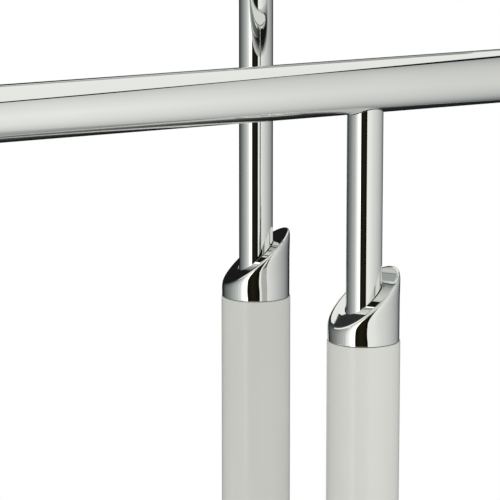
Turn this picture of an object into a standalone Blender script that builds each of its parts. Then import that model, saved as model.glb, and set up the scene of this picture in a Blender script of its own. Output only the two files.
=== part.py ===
"""Straight double-rail garment rack with telescoping posts, modelled piece by piece in metres.

The rails run along X, the front of the rack faces -Y, and the floor is z = 0.
Chrome posts hang under each rail, slide in painted sleeves and are held by slant-cut twist collars.
"""

import math

import bmesh
import bpy
from mathutils import Matrix
from mathutils import Vector

# Gaps between pieces
FIT = 0.0003                      # gap left between pieces that touch
SLIDE_FIT = 0.0004                # radial gap between pieces that slide or turn

# Layout of the rack
FRAME_WIDTH = 1.100               # left to right, between post axes
ROW_SPACING = 0.166               # front to back, between post axes
FRONT_RAIL_RISE = 0.181           # front rail's axis above the sleeves
BACK_RAIL_RISE = 0.331            # back rail's axis above the sleeves
BACK_RAIL_LIFT = 0.202            # how far the back rail can still rise before its sliders stop it

# Hanging rails and their end caps
RAIL_OVERHANG = 0.200             # rail beyond the post axis at each end
RAIL_DIAMETER = 0.0381
RAIL_WALL = 0.0015
CAP_RIM = 0.0025                  # straight rim of the end cap
CAP_DOME = 0.0045                 # height of the dome on that rim
CAP_PLUG_LENGTH = 0.018

# Posts, with the bolt and nut plate that hold the rail and the slider that runs in the sleeve
POST_DIAMETER = 0.0254
POST_WALL = 0.0015
POST_WEB_THICKNESS = 0.008        # web welded in the post's head, under the rail
NUT_PLATE_DIAMETER = 0.020
NUT_PLATE_HEIGHT = 0.010
RAIL_BOLT_DIAMETER = 0.008
RAIL_BOLT_HEAD_DIAMETER = 0.013
RAIL_BOLT_HEAD_HEIGHT = 0.008
SLIDER_LENGTH = 0.030
SLIDER_SPIGOT_LENGTH = 0.025

# Sleeves, guide bushes and twist collars
SLEEVE_DIAMETER = 0.052
SLEEVE_WALL = 0.0015
SLEEVE_LENGTH = 0.960
SLEEVE_BASE_THICKNESS = 0.012     # threaded base welded in the sleeve's lower end
BUSH_DEPTH = 0.060                # guide length inside the sleeve
BUSH_NECK_HEIGHT = 0.008          # threaded neck that the collar turns on
BUSH_NECK_WALL = 0.004
COLLAR_STEP = 0.0004              # sleeve's edge stands this far proud of the collar
COLLAR_LOW_HEIGHT = 0.0099        # collar's height on its low side
COLLAR_SLANT = math.radians(39.3)
FRONT_COLLAR_TURN = math.radians(0)     # collar's high side, from straight outwards to the front
BACK_COLLAR_TURN = math.radians(13.5)

# Foot bars, with the bolts that hold the sleeves
FOOT_BAR_LENGTH = 0.554
FOOT_BAR_WIDTH = 0.060
FOOT_BAR_HEIGHT = 0.030
FOOT_BAR_WALL = 0.002
FOOT_BAR_CORNER = 0.005
FOOT_CAP_THICKNESS = 0.003
FOOT_CAP_BEVEL = 0.001
FOOT_CAP_PLUG_LENGTH = 0.015
BASE_BOLT_DIAMETER = 0.010
BASE_BOLT_HEAD_DIAMETER = 0.016
BASE_BOLT_HEAD_HEIGHT = 0.006
BASE_BOLT_REACH = 0.016           # thread length above the sleeve's lower end
ACCESS_HOLE_DIAMETER = 0.020      # hole under the bolt head, for the driver

# Stretchers between the left and right sleeves
STRETCHER_DIAMETER = 0.0254
STRETCHER_WALL = 0.0015
STRETCHER_HEIGHT = 0.160          # axis above the floor
STRETCHER_WEB_THICKNESS = 0.010   # threaded web welded in each end
STRETCHER_BOLT_DIAMETER = 0.008
STRETCHER_BOLT_REACH = 0.014      # thread length inside the stretcher
STRETCHER_BOLT_HEAD_DIAMETER = 0.014
STRETCHER_BOLT_HEAD_HEIGHT = 0.0045

# Levelling feet and their threaded inserts
PAD_DIAMETER = 0.040
PAD_HEIGHT = 0.010
PAD_EDGE = 0.005                  # height of the pad's straight side
PAD_BEVEL = 0.001
PAD_SHOULDER_DIAMETER = 0.018
SPINDLE_DIAMETER = 0.010
SPINDLE_REACH = 0.024             # spindle's top above the underside of the foot bar
INSERT_DIAMETER = 0.0154
INSERT_LENGTH = 0.015
INSERT_FLANGE_DIAMETER = 0.022
INSERT_FLANGE_THICKNESS = 0.0015
LEVELLER_INSET = 0.035            # from the foot bar's end to the foot's axis

# Facets round a full turn, and round one corner of the foot bar
RAIL_SIDES = 32
SLEEVE_SIDES = 32
POST_SIDES = 24
SMALL_SIDES = 12
CORNER_STEPS = 4
DOME_STEPS = 3
SHARP_ANGLE = math.radians(35)

# Finishes: base colour, roughness, metallic
CHROME = ((0.80, 0.81, 0.82), 0.06, 1.0)
OFF_WHITE_PAINT = ((0.66, 0.665, 0.63), 0.35, 0.0)
BLACK_PLASTIC = ((0.03, 0.03, 0.03), 0.45, 0.0)
PALE_NYLON = ((0.55, 0.55, 0.52), 0.50, 0.0)
ZINC_STEEL = ((0.62, 0.63, 0.65), 0.32, 1.0)

# Sizes that follow from the driving dimensions
RAIL_RADIUS = RAIL_DIAMETER / 2
RAIL_BORE = RAIL_RADIUS - RAIL_WALL
RAIL_HALF_LENGTH = FRAME_WIDTH / 2 + RAIL_OVERHANG
POST_RADIUS = POST_DIAMETER / 2
POST_BORE = POST_RADIUS - POST_WALL
POST_LENGTH = BACK_RAIL_RISE - RAIL_RADIUS - FIT + BUSH_DEPTH + BACK_RAIL_LIFT
SLEEVE_RADIUS = SLEEVE_DIAMETER / 2
SLEEVE_BORE = SLEEVE_RADIUS - SLEEVE_WALL
COLLAR_RADIUS = SLEEVE_RADIUS - COLLAR_STEP
GUIDE_BORE = POST_RADIUS + SLIDE_FIT
NECK_RADIUS = GUIDE_BORE + BUSH_NECK_WALL

FOOT_BAR_BOTTOM = PAD_HEIGHT + FIT + INSERT_FLANGE_THICKNESS + FIT
FOOT_BAR_TOP = FOOT_BAR_BOTTOM + FOOT_BAR_HEIGHT
SLEEVE_BOTTOM = FOOT_BAR_TOP + FIT
SLEEVE_TOP = SLEEVE_BOTTOM + SLEEVE_LENGTH
COLLAR_BOTTOM = SLEEVE_TOP + FIT

SIDES = {"left": -1, "right": 1}
ROWS = {"front": -1, "back": 1}
ALONG_X = Matrix.Rotation(math.radians(90), 4, "Y")
ALONG_Y = Matrix.Rotation(math.radians(-90), 4, "X")


def circle(radius, height, sides):
    """Points of a ring round local Z. The height is a number, or a function of x and y."""
    points = []
    for step in range(sides):
        angle = 2 * math.pi * step / sides
        x = radius * math.cos(angle)
        y = radius * math.sin(angle)
        z = height(x, y) if callable(height) else height
        points.append((x, y, z))
    return points


def turned(profile, sides):
    """Rings of a turned piece, one for each (radius, height) pair of its profile."""
    return [circle(radius, height, sides) for radius, height in profile]


def rounded_rectangle(width, depth, corner, height):
    """Points of a rectangle with rounded corners, square to local Z at one height."""
    points = []
    for quarter in range(4):
        sign_x = 1 if quarter in (0, 3) else -1
        sign_y = 1 if quarter in (0, 1) else -1
        for step in range(CORNER_STEPS):
            angle = math.radians(90) * (quarter + step / (CORNER_STEPS - 1))
            x = sign_x * (width / 2 - corner) + corner * math.cos(angle)
            y = sign_y * (depth / 2 - corner) + corner * math.sin(angle)
            points.append((x, y, height))
    return points


def tube(outer, inner, low, high, sides):
    """Rings of a tube between two ends. An end is a height, or a function of x and y."""
    return turned([(outer, low), (outer, high), (inner, high), (inner, low)], sides)


def rod(radius, low, high, sides):
    """Rings of a plain round rod."""
    return turned([(radius, low), (radius, high)], sides)


def saddle(radius, centre, sign):
    """Height of a mouth that fits a round tube whose axis crosses local Z at the given centre.

    The mouth lies on the side of the tube that sign points to, and curves along local y.
    """
    def height(x, y):
        return centre + sign * math.sqrt(radius ** 2 - y ** 2)
    return height


def add_solid(mesh, rings, hollow, place):
    """Adds one closed solid to a mesh under construction, as a skin over rings of equal count."""
    loops = []
    for ring in rings:
        loops.append([mesh.verts.new(place @ Vector(point)) for point in ring])
    pairs = list(zip(loops, loops[1:]))
    if hollow:
        pairs.append((loops[-1], loops[0]))
    else:
        mesh.faces.new(reversed(loops[0]))
        mesh.faces.new(loops[-1])
    for lower, upper in pairs:
        for this in range(len(lower)):
            following = (this + 1) % len(lower)
            mesh.faces.new((lower[this], lower[following], upper[following], upper[this]))


def surface(name, finish):
    """A material with one finish's colour, roughness and metallic value."""
    colour, roughness, metallic = finish
    material = bpy.data.materials.new(name + "_finish")
    material.use_nodes = True
    shader = material.node_tree.nodes["Principled BSDF"]
    shader.inputs["Base Color"].default_value = (*colour, 1.0)
    shader.inputs["Roughness"].default_value = roughness
    shader.inputs["Metallic"].default_value = metallic
    material.diffuse_color = (*colour, 1.0)
    return material


def mesh_object(name, rings, hollow, places):
    """An object holding one solid at each of the given places."""
    mesh = bmesh.new()
    for place in places:
        add_solid(mesh, rings, hollow, place)
    bmesh.ops.recalc_face_normals(mesh, faces=mesh.faces)
    data = bpy.data.meshes.new(name)
    mesh.to_mesh(data)
    mesh.free()
    data.shade_smooth()
    data.set_sharp_from_angle(angle=SHARP_ANGLE)
    made = bpy.data.objects.new(name, data)
    bpy.context.scene.collection.objects.link(made)
    return made


def piece(name, finish, rings, hollow, parent, place):
    """One named piece, set at its place under its parent."""
    made = mesh_object(name, rings, hollow, [Matrix()])
    made.parent = parent
    made.matrix_local = place
    made.data.materials.append(surface(name, finish))
    return made


def drill(target, purpose, rings, places):
    """Cuts one hole through a piece at each place, given in the frame of the piece's parent."""
    cutter = mesh_object(target.name + "_" + purpose, rings, False, places)
    cutter.parent = target.parent
    cutter.hide_render = True
    cutter.display_type = "WIRE"
    cut = target.modifiers.new(cutter.name, "BOOLEAN")
    cut.operation = "DIFFERENCE"
    cut.solver = "EXACT"
    cut.object = cutter


def empty(name, location, parent=None):
    """An empty that carries a group of pieces."""
    made = bpy.data.objects.new(name, None)
    made.location = location
    made.parent = parent
    bpy.context.scene.collection.objects.link(made)
    return made


def at(x, y, z):
    """A place with no rotation."""
    return Matrix.Translation((x, y, z))


def bolt(shank_radius, head_radius, head_height, seat, end):
    """Rings of a bolt whose head lies below its seat and whose shank runs up to its end."""
    return turned([(head_radius, seat - head_height), (head_radius, seat), (shank_radius, seat),
                   (shank_radius, end)], SMALL_SIDES)


def rail_set(row, slide):
    """One hanging rail with all that moves with it. The slide's origin is the middle of the rail's axis."""
    post_places = {side: at(sign * FRAME_WIDTH / 2, 0, 0) for side, sign in SIDES.items()}
    rail_rings = tube(RAIL_RADIUS, RAIL_BORE, -RAIL_HALF_LENGTH, RAIL_HALF_LENGTH, RAIL_SIDES)
    rail = piece(row + "_rail", CHROME, rail_rings, True, slide, ALONG_X)
    bolt_radius = RAIL_BOLT_DIAMETER / 2
    bolt_hole = bolt_radius + FIT
    hole_rings = rod(bolt_hole, -2 * RAIL_RADIUS, -RAIL_BORE / 2, SMALL_SIDES)
    drill(rail, "bolt_holes", hole_rings, list(post_places.values()))

    # The post's saddle mouth, the web welded under it and the open lower end
    mouth = saddle(RAIL_RADIUS + FIT, 0, -1)
    web_top = -RAIL_RADIUS - 2 * FIT
    web_bottom = web_top - POST_WEB_THICKNESS
    post_bottom = -RAIL_RADIUS - FIT - POST_LENGTH
    post_rings = turned([
        (POST_RADIUS, post_bottom), (POST_RADIUS, mouth), (POST_BORE, mouth), (POST_BORE, web_top),
        (bolt_hole, web_top), (bolt_hole, web_bottom), (POST_BORE, web_bottom), (POST_BORE, post_bottom)],
        POST_SIDES)

    # The nut plate lies in the rail's bore, and the bolt runs up to its top through web and rail
    nut_seat = RAIL_BORE - FIT
    nut_top = NUT_PLATE_HEIGHT - nut_seat
    nut_rings = tube(NUT_PLATE_DIAMETER / 2, bolt_hole, saddle(nut_seat, 0, -1), nut_top, SMALL_SIDES)
    bolt_rings = bolt(bolt_radius, RAIL_BOLT_HEAD_DIAMETER / 2, RAIL_BOLT_HEAD_HEIGHT, web_bottom - FIT, nut_top)

    # The slider's shoulder carries the post's lower end, and its spigot fills the bore
    shoulder = post_bottom - FIT
    slider_radius = SLEEVE_BORE - SLIDE_FIT
    spigot_radius = POST_BORE - FIT
    slider_rings = turned([
        (slider_radius, shoulder - SLIDER_LENGTH), (slider_radius, shoulder), (spigot_radius, shoulder),
        (spigot_radius, shoulder + SLIDER_SPIGOT_LENGTH)], POST_SIDES)

    # The end cap is a plug in the rail's bore with a rim and a low dome outside
    cap_plug_radius = RAIL_BORE - FIT
    cap_profile = [(cap_plug_radius, -CAP_PLUG_LENGTH), (cap_plug_radius, FIT), (RAIL_RADIUS, FIT)]
    for step in range(DOME_STEPS):
        angle = math.radians(90) * step / DOME_STEPS
        cap_profile.append((RAIL_RADIUS * math.cos(angle), FIT + CAP_RIM + CAP_DOME * math.sin(angle)))
    cap_rings = turned(cap_profile, RAIL_SIDES)

    for side, sign in SIDES.items():
        place = post_places[side]
        cap_place = at(sign * RAIL_HALF_LENGTH, 0, 0) @ Matrix.Rotation(sign * math.radians(90), 4, "Y")
        piece(row + "_post_" + side, CHROME, post_rings, True, slide, place)
        piece(row + "_nut_plate_" + side, ZINC_STEEL, nut_rings, True, slide, place)
        piece(row + "_rail_bolt_" + side, ZINC_STEEL, bolt_rings, False, slide, place)
        piece(row + "_slider_" + side, PALE_NYLON, slider_rings, False, slide, place)
        piece(row + "_rail_cap_" + side, CHROME, cap_rings, False, slide, cap_place)


def sleeve_set(row, side, frame):
    """One fixed sleeve with its base bolt, guide bush and twist collar, all round one post axis."""
    x = SIDES[side] * FRAME_WIDTH / 2
    y = ROWS[row] * ROW_SPACING / 2
    bolt_radius = BASE_BOLT_DIAMETER / 2
    bolt_hole = bolt_radius + FIT
    sleeve_rings = turned([
        (SLEEVE_RADIUS, 0), (SLEEVE_RADIUS, SLEEVE_LENGTH), (SLEEVE_BORE, SLEEVE_LENGTH),
        (SLEEVE_BORE, SLEEVE_BASE_THICKNESS), (bolt_hole, SLEEVE_BASE_THICKNESS), (bolt_hole, 0)], SLEEVE_SIDES)
    sleeve = piece(row + "_sleeve_" + side, OFF_WHITE_PAINT, sleeve_rings, True, frame, at(x, y, SLEEVE_BOTTOM))
    cross_hole = rod(STRETCHER_BOLT_DIAMETER / 2 + FIT, -SLEEVE_DIAMETER, SLEEVE_DIAMETER, SMALL_SIDES)
    drill(sleeve, "cross_hole", cross_hole, [at(x, y, STRETCHER_HEIGHT) @ ALONG_X])

    head_seat = FOOT_BAR_TOP - FOOT_BAR_WALL - FIT
    bolt_rings = bolt(bolt_radius, BASE_BOLT_HEAD_DIAMETER / 2, BASE_BOLT_HEAD_HEIGHT, head_seat,
                      SLEEVE_BOTTOM + BASE_BOLT_REACH)
    piece(row + "_base_bolt_" + side, ZINC_STEEL, bolt_rings, False, frame, at(x, y, 0))

    bush_radius = SLEEVE_BORE - FIT
    neck_top = FIT + BUSH_NECK_HEIGHT
    bush_rings = turned([
        (bush_radius, -BUSH_DEPTH), (bush_radius, 0), (NECK_RADIUS, 0), (NECK_RADIUS, neck_top),
        (GUIDE_BORE, neck_top), (GUIDE_BORE, -BUSH_DEPTH)], POST_SIDES)
    piece(row + "_bush_" + side, BLACK_PLASTIC, bush_rings, True, frame, at(x, y, SLEEVE_TOP))

    def slant(across, _):
        return COLLAR_LOW_HEIGHT + math.tan(COLLAR_SLANT) * (COLLAR_RADIUS + across)

    recess = BUSH_NECK_HEIGHT + FIT
    recess_radius = NECK_RADIUS + SLIDE_FIT
    collar_rings = turned([
        (COLLAR_RADIUS, 0), (COLLAR_RADIUS, slant), (GUIDE_BORE, slant), (GUIDE_BORE, recess),
        (recess_radius, recess), (recess_radius, 0)], SLEEVE_SIDES)
    turn = FRONT_COLLAR_TURN if row == "front" else BACK_COLLAR_TURN
    facing = -turn if side == "right" else math.pi + turn
    collar_place = at(x, y, COLLAR_BOTTOM) @ Matrix.Rotation(facing, 4, "Z")
    piece(row + "_collar_" + side, CHROME, collar_rings, True, frame, collar_place)


def foot_set(side, frame):
    """One foot bar with its end caps, drilled for the sleeve bolts and the levelling feet."""
    x = SIDES[side] * FRAME_WIDTH / 2
    middle = FOOT_BAR_BOTTOM + FOOT_BAR_HEIGHT / 2
    half_length = FOOT_BAR_LENGTH / 2
    inner_width = FOOT_BAR_WIDTH - 2 * FOOT_BAR_WALL
    inner_height = FOOT_BAR_HEIGHT - 2 * FOOT_BAR_WALL
    inner_corner = max(FOOT_BAR_CORNER - FOOT_BAR_WALL, FIT)
    outer = (FOOT_BAR_WIDTH, FOOT_BAR_HEIGHT, FOOT_BAR_CORNER)
    inner = (inner_width, inner_height, inner_corner)
    bar_rings = [
        rounded_rectangle(*outer, -half_length), rounded_rectangle(*outer, half_length),
        rounded_rectangle(*inner, half_length), rounded_rectangle(*inner, -half_length)]
    bar = piece("foot_bar_" + side, OFF_WHITE_PAINT, bar_rings, True, frame, at(x, 0, middle) @ ALONG_Y)

    sleeve_places = [at(x, sign * ROW_SPACING / 2, middle) for sign in ROWS.values()]
    leveller_places = [at(x, sign * (half_length - LEVELLER_INSET), middle) for sign in ROWS.values()]
    bolt_rings = rod(BASE_BOLT_DIAMETER / 2 + FIT, 0, FOOT_BAR_HEIGHT, SMALL_SIDES)
    access_rings = rod(ACCESS_HOLE_DIAMETER / 2, -FOOT_BAR_HEIGHT, 0, POST_SIDES)
    insert_rings = rod(INSERT_DIAMETER / 2 + FIT, -FOOT_BAR_HEIGHT, 0, SMALL_SIDES)
    drill(bar, "bolt_holes", bolt_rings, sleeve_places)
    drill(bar, "access_holes", access_rings, sleeve_places)
    drill(bar, "insert_holes", insert_rings, leveller_places)

    plug = (inner_width - 2 * FIT, inner_height - 2 * FIT, inner_corner)
    face = (FOOT_BAR_WIDTH - 2 * FOOT_CAP_BEVEL, FOOT_BAR_HEIGHT - 2 * FOOT_CAP_BEVEL,
            max(FOOT_BAR_CORNER - FOOT_CAP_BEVEL, FIT))
    cap_face = FIT + FOOT_CAP_THICKNESS
    cap_rings = [
        rounded_rectangle(*plug, -FOOT_CAP_PLUG_LENGTH), rounded_rectangle(*plug, FIT),
        rounded_rectangle(*outer, FIT), rounded_rectangle(*outer, cap_face - FOOT_CAP_BEVEL),
        rounded_rectangle(*face, cap_face)]
    for row, sign in ROWS.items():
        cap_place = at(x, sign * half_length, middle) @ Matrix.Rotation(-sign * math.radians(90), 4, "X")
        piece("foot_cap_" + side + "_" + row, BLACK_PLASTIC, cap_rings, False, frame, cap_place)


def stretcher_set(row, frame):
    """One low bar between the left and right sleeves, with the bolt that holds each of its ends."""
    y = ROWS[row] * ROW_SPACING / 2
    half = FRAME_WIDTH / 2
    radius = STRETCHER_DIAMETER / 2
    bore = radius - STRETCHER_WALL
    bolt_radius = STRETCHER_BOLT_DIAMETER / 2
    bolt_hole = bolt_radius + FIT
    seat = SLEEVE_RADIUS + FIT
    left_mouth = saddle(seat, -half, 1)
    right_mouth = saddle(seat, half, -1)
    web_face = half - seat - FIT
    web_back = web_face - STRETCHER_WEB_THICKNESS
    stretcher_rings = turned([
        (radius, left_mouth), (radius, right_mouth), (bore, right_mouth), (bore, web_face), (bolt_hole, web_face),
        (bolt_hole, web_back), (bore, web_back), (bore, -web_back), (bolt_hole, -web_back),
        (bolt_hole, -web_face), (bore, -web_face), (bore, left_mouth)], POST_SIDES)
    piece(row + "_stretcher", CHROME, stretcher_rings, True, frame, at(0, y, STRETCHER_HEIGHT) @ ALONG_X)

    # Local z of a bolt points inwards from the sleeve's axis, along the stretcher
    bolt_rings = bolt(bolt_radius, STRETCHER_BOLT_HEAD_DIAMETER / 2, STRETCHER_BOLT_HEAD_HEIGHT, -seat,
                      seat + FIT + STRETCHER_BOLT_REACH)
    for side, sign in SIDES.items():
        inwards = Matrix.Rotation(-sign * math.radians(90), 4, "Y")
        bolt_place = at(sign * half, y, STRETCHER_HEIGHT) @ inwards
        piece(row + "_stretcher_bolt_" + side, CHROME, bolt_rings, False, frame, bolt_place)


def leveller_set(side, row, frame):
    """One levelling foot and the threaded insert that it turns in."""
    place = at(SIDES[side] * FRAME_WIDTH / 2, ROWS[row] * (FOOT_BAR_LENGTH / 2 - LEVELLER_INSET), 0)
    pad_radius = PAD_DIAMETER / 2
    spindle_radius = SPINDLE_DIAMETER / 2
    foot_rings = turned([
        (pad_radius - PAD_BEVEL, 0), (pad_radius, PAD_BEVEL), (pad_radius, PAD_EDGE),
        (PAD_SHOULDER_DIAMETER / 2, PAD_HEIGHT), (spindle_radius, PAD_HEIGHT),
        (spindle_radius, FOOT_BAR_BOTTOM + SPINDLE_REACH)], POST_SIDES)
    piece("leveller_" + side + "_" + row, BLACK_PLASTIC, foot_rings, False, frame, place)

    low = PAD_HEIGHT + FIT
    flange_top = low + INSERT_FLANGE_THICKNESS
    insert_top = flange_top + INSERT_LENGTH
    bore = spindle_radius + SLIDE_FIT
    insert_radius = INSERT_DIAMETER / 2
    flange_radius = INSERT_FLANGE_DIAMETER / 2
    insert_rings = turned([
        (bore, low), (flange_radius, low), (flange_radius, flange_top), (insert_radius, flange_top),
        (insert_radius, insert_top), (bore, insert_top)], SMALL_SIDES)
    piece("leveller_insert_" + side + "_" + row, ZINC_STEEL, insert_rings, True, frame, place)


for leftover in list(bpy.data.objects):
    bpy.data.objects.remove(leftover, do_unlink=True)

rack = empty("rack", (0, 0, 0))
for side_name in SIDES:
    foot_set(side_name, rack)
for row_name in ROWS:
    stretcher_set(row_name, rack)
    for side_name in SIDES:
        sleeve_set(row_name, side_name, rack)
        leveller_set(side_name, row_name, rack)
for row_name, rise in (("front", FRONT_RAIL_RISE), ("back", BACK_RAIL_RISE)):
    rail_origin = (0, ROWS[row_name] * ROW_SPACING / 2, SLEEVE_TOP + rise)
    rail_set(row_name, empty(row_name + "_rail_slide", rail_origin, rack))
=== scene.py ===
# The finish of a straight double-rail garment rack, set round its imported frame, in metres.
import math

import bmesh
import bpy
from mathutils import Matrix, Vector


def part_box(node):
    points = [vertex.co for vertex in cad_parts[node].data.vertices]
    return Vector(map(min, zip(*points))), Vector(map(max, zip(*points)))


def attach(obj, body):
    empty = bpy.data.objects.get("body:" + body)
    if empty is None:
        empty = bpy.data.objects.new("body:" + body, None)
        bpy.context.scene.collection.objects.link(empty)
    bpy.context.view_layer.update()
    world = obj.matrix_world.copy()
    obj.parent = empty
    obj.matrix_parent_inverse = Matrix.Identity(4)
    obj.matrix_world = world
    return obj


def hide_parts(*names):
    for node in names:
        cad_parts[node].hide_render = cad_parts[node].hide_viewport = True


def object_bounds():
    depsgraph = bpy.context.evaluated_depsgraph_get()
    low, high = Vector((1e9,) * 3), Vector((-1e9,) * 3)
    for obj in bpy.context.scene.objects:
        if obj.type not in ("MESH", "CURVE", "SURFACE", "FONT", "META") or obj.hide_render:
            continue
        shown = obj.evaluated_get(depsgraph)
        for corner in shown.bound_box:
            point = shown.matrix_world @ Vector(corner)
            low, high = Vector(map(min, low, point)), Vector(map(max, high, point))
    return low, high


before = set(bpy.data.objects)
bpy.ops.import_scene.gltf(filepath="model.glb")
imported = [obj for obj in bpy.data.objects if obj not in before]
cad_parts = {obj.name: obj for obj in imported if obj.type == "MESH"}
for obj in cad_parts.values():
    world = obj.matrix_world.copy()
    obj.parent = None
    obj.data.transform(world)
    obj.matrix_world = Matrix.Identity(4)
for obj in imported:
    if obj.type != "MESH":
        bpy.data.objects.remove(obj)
cad_low, cad_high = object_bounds()

# Foot bars
# Each end of the rack stands on a length of rounded rectangular steel tube, sawn square at both ends. It is
# drilled for the base bolts, their driver and the levelling feet, then powder coated off-white.
SIDES = ("left", "right")
ROWS = ("front", "back")
QUARTER_TURN = math.radians(90)
SHARP_EDGE = math.radians(40)
BAR_WALL = 0.002
BAR_CORNER = 0.005
BAR_CORNER_STEPS = 8
BAR_SAWN_EDGE = 0.0004
BOLT_HOLE_RADIUS = 0.0053
ACCESS_HOLE_RADIUS = 0.010
INSERT_HOLE_RADIUS = 0.008
HOLE_SIDES = 48
NOISE_MIDDLE = (0.3, 0.7)
COAT_TONES = ((0.655, 0.662, 0.620), (0.682, 0.688, 0.648))
COAT_CLOUDS = ((14, 14, 9), 3)
COAT_ROUGHNESS = (0.36, 0.46)
COAT_HAZE = ((60, 60, 40), 4)
COAT_PEEL = ((650, 650, 650), 2)
COAT_PEEL_DEPTH = 0.00002
COAT_SPECULAR = 0.2
COAT_GLOSS = 0.4
COAT_GLOSS_ROUGHNESS = 0.07


def middle(node):
    """Centre of a node's box."""
    low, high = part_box(node)
    return (low + high) / 2


def outline(size, inset, corner):
    """Points of a bar's section, drawn in by an inset, with rounded corners."""
    points = []
    for quarter in range(4):
        across = 1 if quarter in (0, 3) else -1
        upwards = 1 if quarter in (0, 1) else -1
        for step in range(BAR_CORNER_STEPS + 1):
            angle = QUARTER_TURN * (quarter + step / BAR_CORNER_STEPS)
            side = across * (size.x / 2 - inset - corner) + corner * math.cos(angle)
            rise = upwards * (size.z / 2 - inset - corner) + corner * math.sin(angle)
            points.append((side, rise))
    return points


def along_bar(loops, centre):
    """Rings of outlines round a bar's axis, each given with its place along Y."""
    return [[Vector((centre.x + x, place, centre.z + z)) for x, z in loop] for loop, place in loops]


def circle(radius, sides):
    """Points round the origin of a plane."""
    points = []
    for step in range(sides):
        angle = math.tau * step / sides
        points.append((radius * math.cos(angle), radius * math.sin(angle)))
    return points


def add_object(name, data):
    """A new object in the scene."""
    made = bpy.data.objects.new(name, data)
    bpy.context.scene.collection.objects.link(made)
    return made


def add_mesh(name, mesh):
    """A new object in the scene from a mesh that is ready."""
    data = bpy.data.meshes.new(name)
    mesh.to_mesh(data)
    mesh.free()
    return add_object(name, data)


def skin(name, rings, hollow):
    """A closed mesh over rings of equal count. A hollow one runs back from its last ring to its first."""
    mesh = bmesh.new()
    loops = [[mesh.verts.new(point) for point in ring] for ring in rings]
    pairs = list(zip(loops, loops[1:]))
    if hollow:
        pairs.append((loops[-1], loops[0]))
    else:
        mesh.faces.new(loops[0])
        mesh.faces.new(loops[-1])
    for lower, upper in pairs:
        for this in range(len(lower)):
            following = (this + 1) % len(lower)
            mesh.faces.new((lower[this], lower[following], upper[following], upper[this]))
    bmesh.ops.recalc_face_normals(mesh, faces=mesh.faces)
    return add_mesh(name, mesh)


def round_tool(radius, start, end, sides=HOLE_SIDES):
    """A drill, or a driver with few sides, that reaches from one point to another."""
    turn = (end - start).normalized().to_track_quat("Z", "Y")
    rings = []
    for place in (start, end):
        rings.append([place + turn @ Vector((x, y, 0)) for x, y in circle(radius, sides)])
    return skin("tool", rings, False)


def upright_drill(radius, axis, bottom, top):
    """A drill along Z on an axis, from one height to another."""
    return round_tool(radius, Vector((axis.x, axis.y, bottom)), Vector((axis.x, axis.y, top)))


def cut(piece, tools):
    """Takes tools out of a piece and keeps the result as its own mesh."""
    for tool in tools:
        step = piece.modifiers.new("cut", "BOOLEAN")
        step.operation = "DIFFERENCE"
        step.solver = "EXACT"
        step.object = tool
    graph = bpy.context.evaluated_depsgraph_get()
    piece.data = bpy.data.meshes.new_from_object(piece.evaluated_get(graph))
    piece.modifiers.clear()
    for tool in tools:
        bpy.data.objects.remove(tool)


def coat(piece, material):
    """Gives a piece its one material."""
    piece.data.materials.clear()
    piece.data.materials.append(material)


def fit(piece, material, slot, body, *nodes):
    """Coats and shades a finished piece, and sets it on its body in place of its plain solids."""
    coat(piece, material)
    piece.data.shade_smooth()
    piece.data.set_sharp_from_angle(angle=SHARP_EDGE)
    even = piece.modifiers.new("even_shading", "WEIGHTED_NORMAL")
    even.keep_sharp = True
    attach(piece, body)
    if nodes:
        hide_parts(*nodes)


def grain(tree, counts, detail):
    """Noise over a piece, with its count of grains per metre along each axis and its fineness."""
    place = tree.nodes.new("ShaderNodeTexCoord")
    scale = tree.nodes.new("ShaderNodeMapping")
    scale.inputs["Scale"].default_value = counts
    noise = tree.nodes.new("ShaderNodeTexNoise")
    noise.inputs["Scale"].default_value = 1.0
    noise.inputs["Detail"].default_value = detail
    tree.links.new(place.outputs["Object"], scale.inputs["Vector"])
    tree.links.new(scale.outputs["Vector"], noise.inputs["Vector"])
    return noise.outputs["Fac"]


def spread(tree, source, low, high):
    """The middle part of a noise stretched from one value to another."""
    reach = tree.nodes.new("ShaderNodeMapRange")
    reach.inputs["From Min"].default_value = NOISE_MIDDLE[0]
    reach.inputs["From Max"].default_value = NOISE_MIDDLE[1]
    reach.inputs["To Min"].default_value = low
    reach.inputs["To Max"].default_value = high
    tree.links.new(source, reach.inputs["Value"])
    return reach.outputs["Result"]


def tint(tree, source, first, second):
    """A colour that wanders between two close tones."""
    blend = tree.nodes.new("ShaderNodeMix")
    blend.data_type = "RGBA"
    blend.inputs["A"].default_value = (*first, 1.0)
    blend.inputs["B"].default_value = (*second, 1.0)
    tree.links.new(spread(tree, source, 0.0, 1.0), blend.inputs["Factor"])
    return blend.outputs["Result"]


def grained_material(name, tones, clouds, roughness, haze):
    """A material whose tone and roughness wander, each over a grain of its own."""
    material = bpy.data.materials.new(name)
    material.use_nodes = True
    tree = material.node_tree
    shader = tree.nodes["Principled BSDF"]
    tree.links.new(tint(tree, grain(tree, *clouds), *tones), shader.inputs["Base Color"])
    tree.links.new(spread(tree, grain(tree, *haze), *roughness), shader.inputs["Roughness"])
    return material, tree, shader


def emboss(tree, shader, texture, depth):
    """A relief over a grain, with its depth in metres."""
    bump = tree.nodes.new("ShaderNodeBump")
    bump.inputs["Strength"].default_value = 1.0
    bump.inputs["Distance"].default_value = depth
    tree.links.new(grain(tree, *texture), bump.inputs["Height"])
    tree.links.new(bump.outputs["Normal"], shader.inputs["Normal"])


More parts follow.
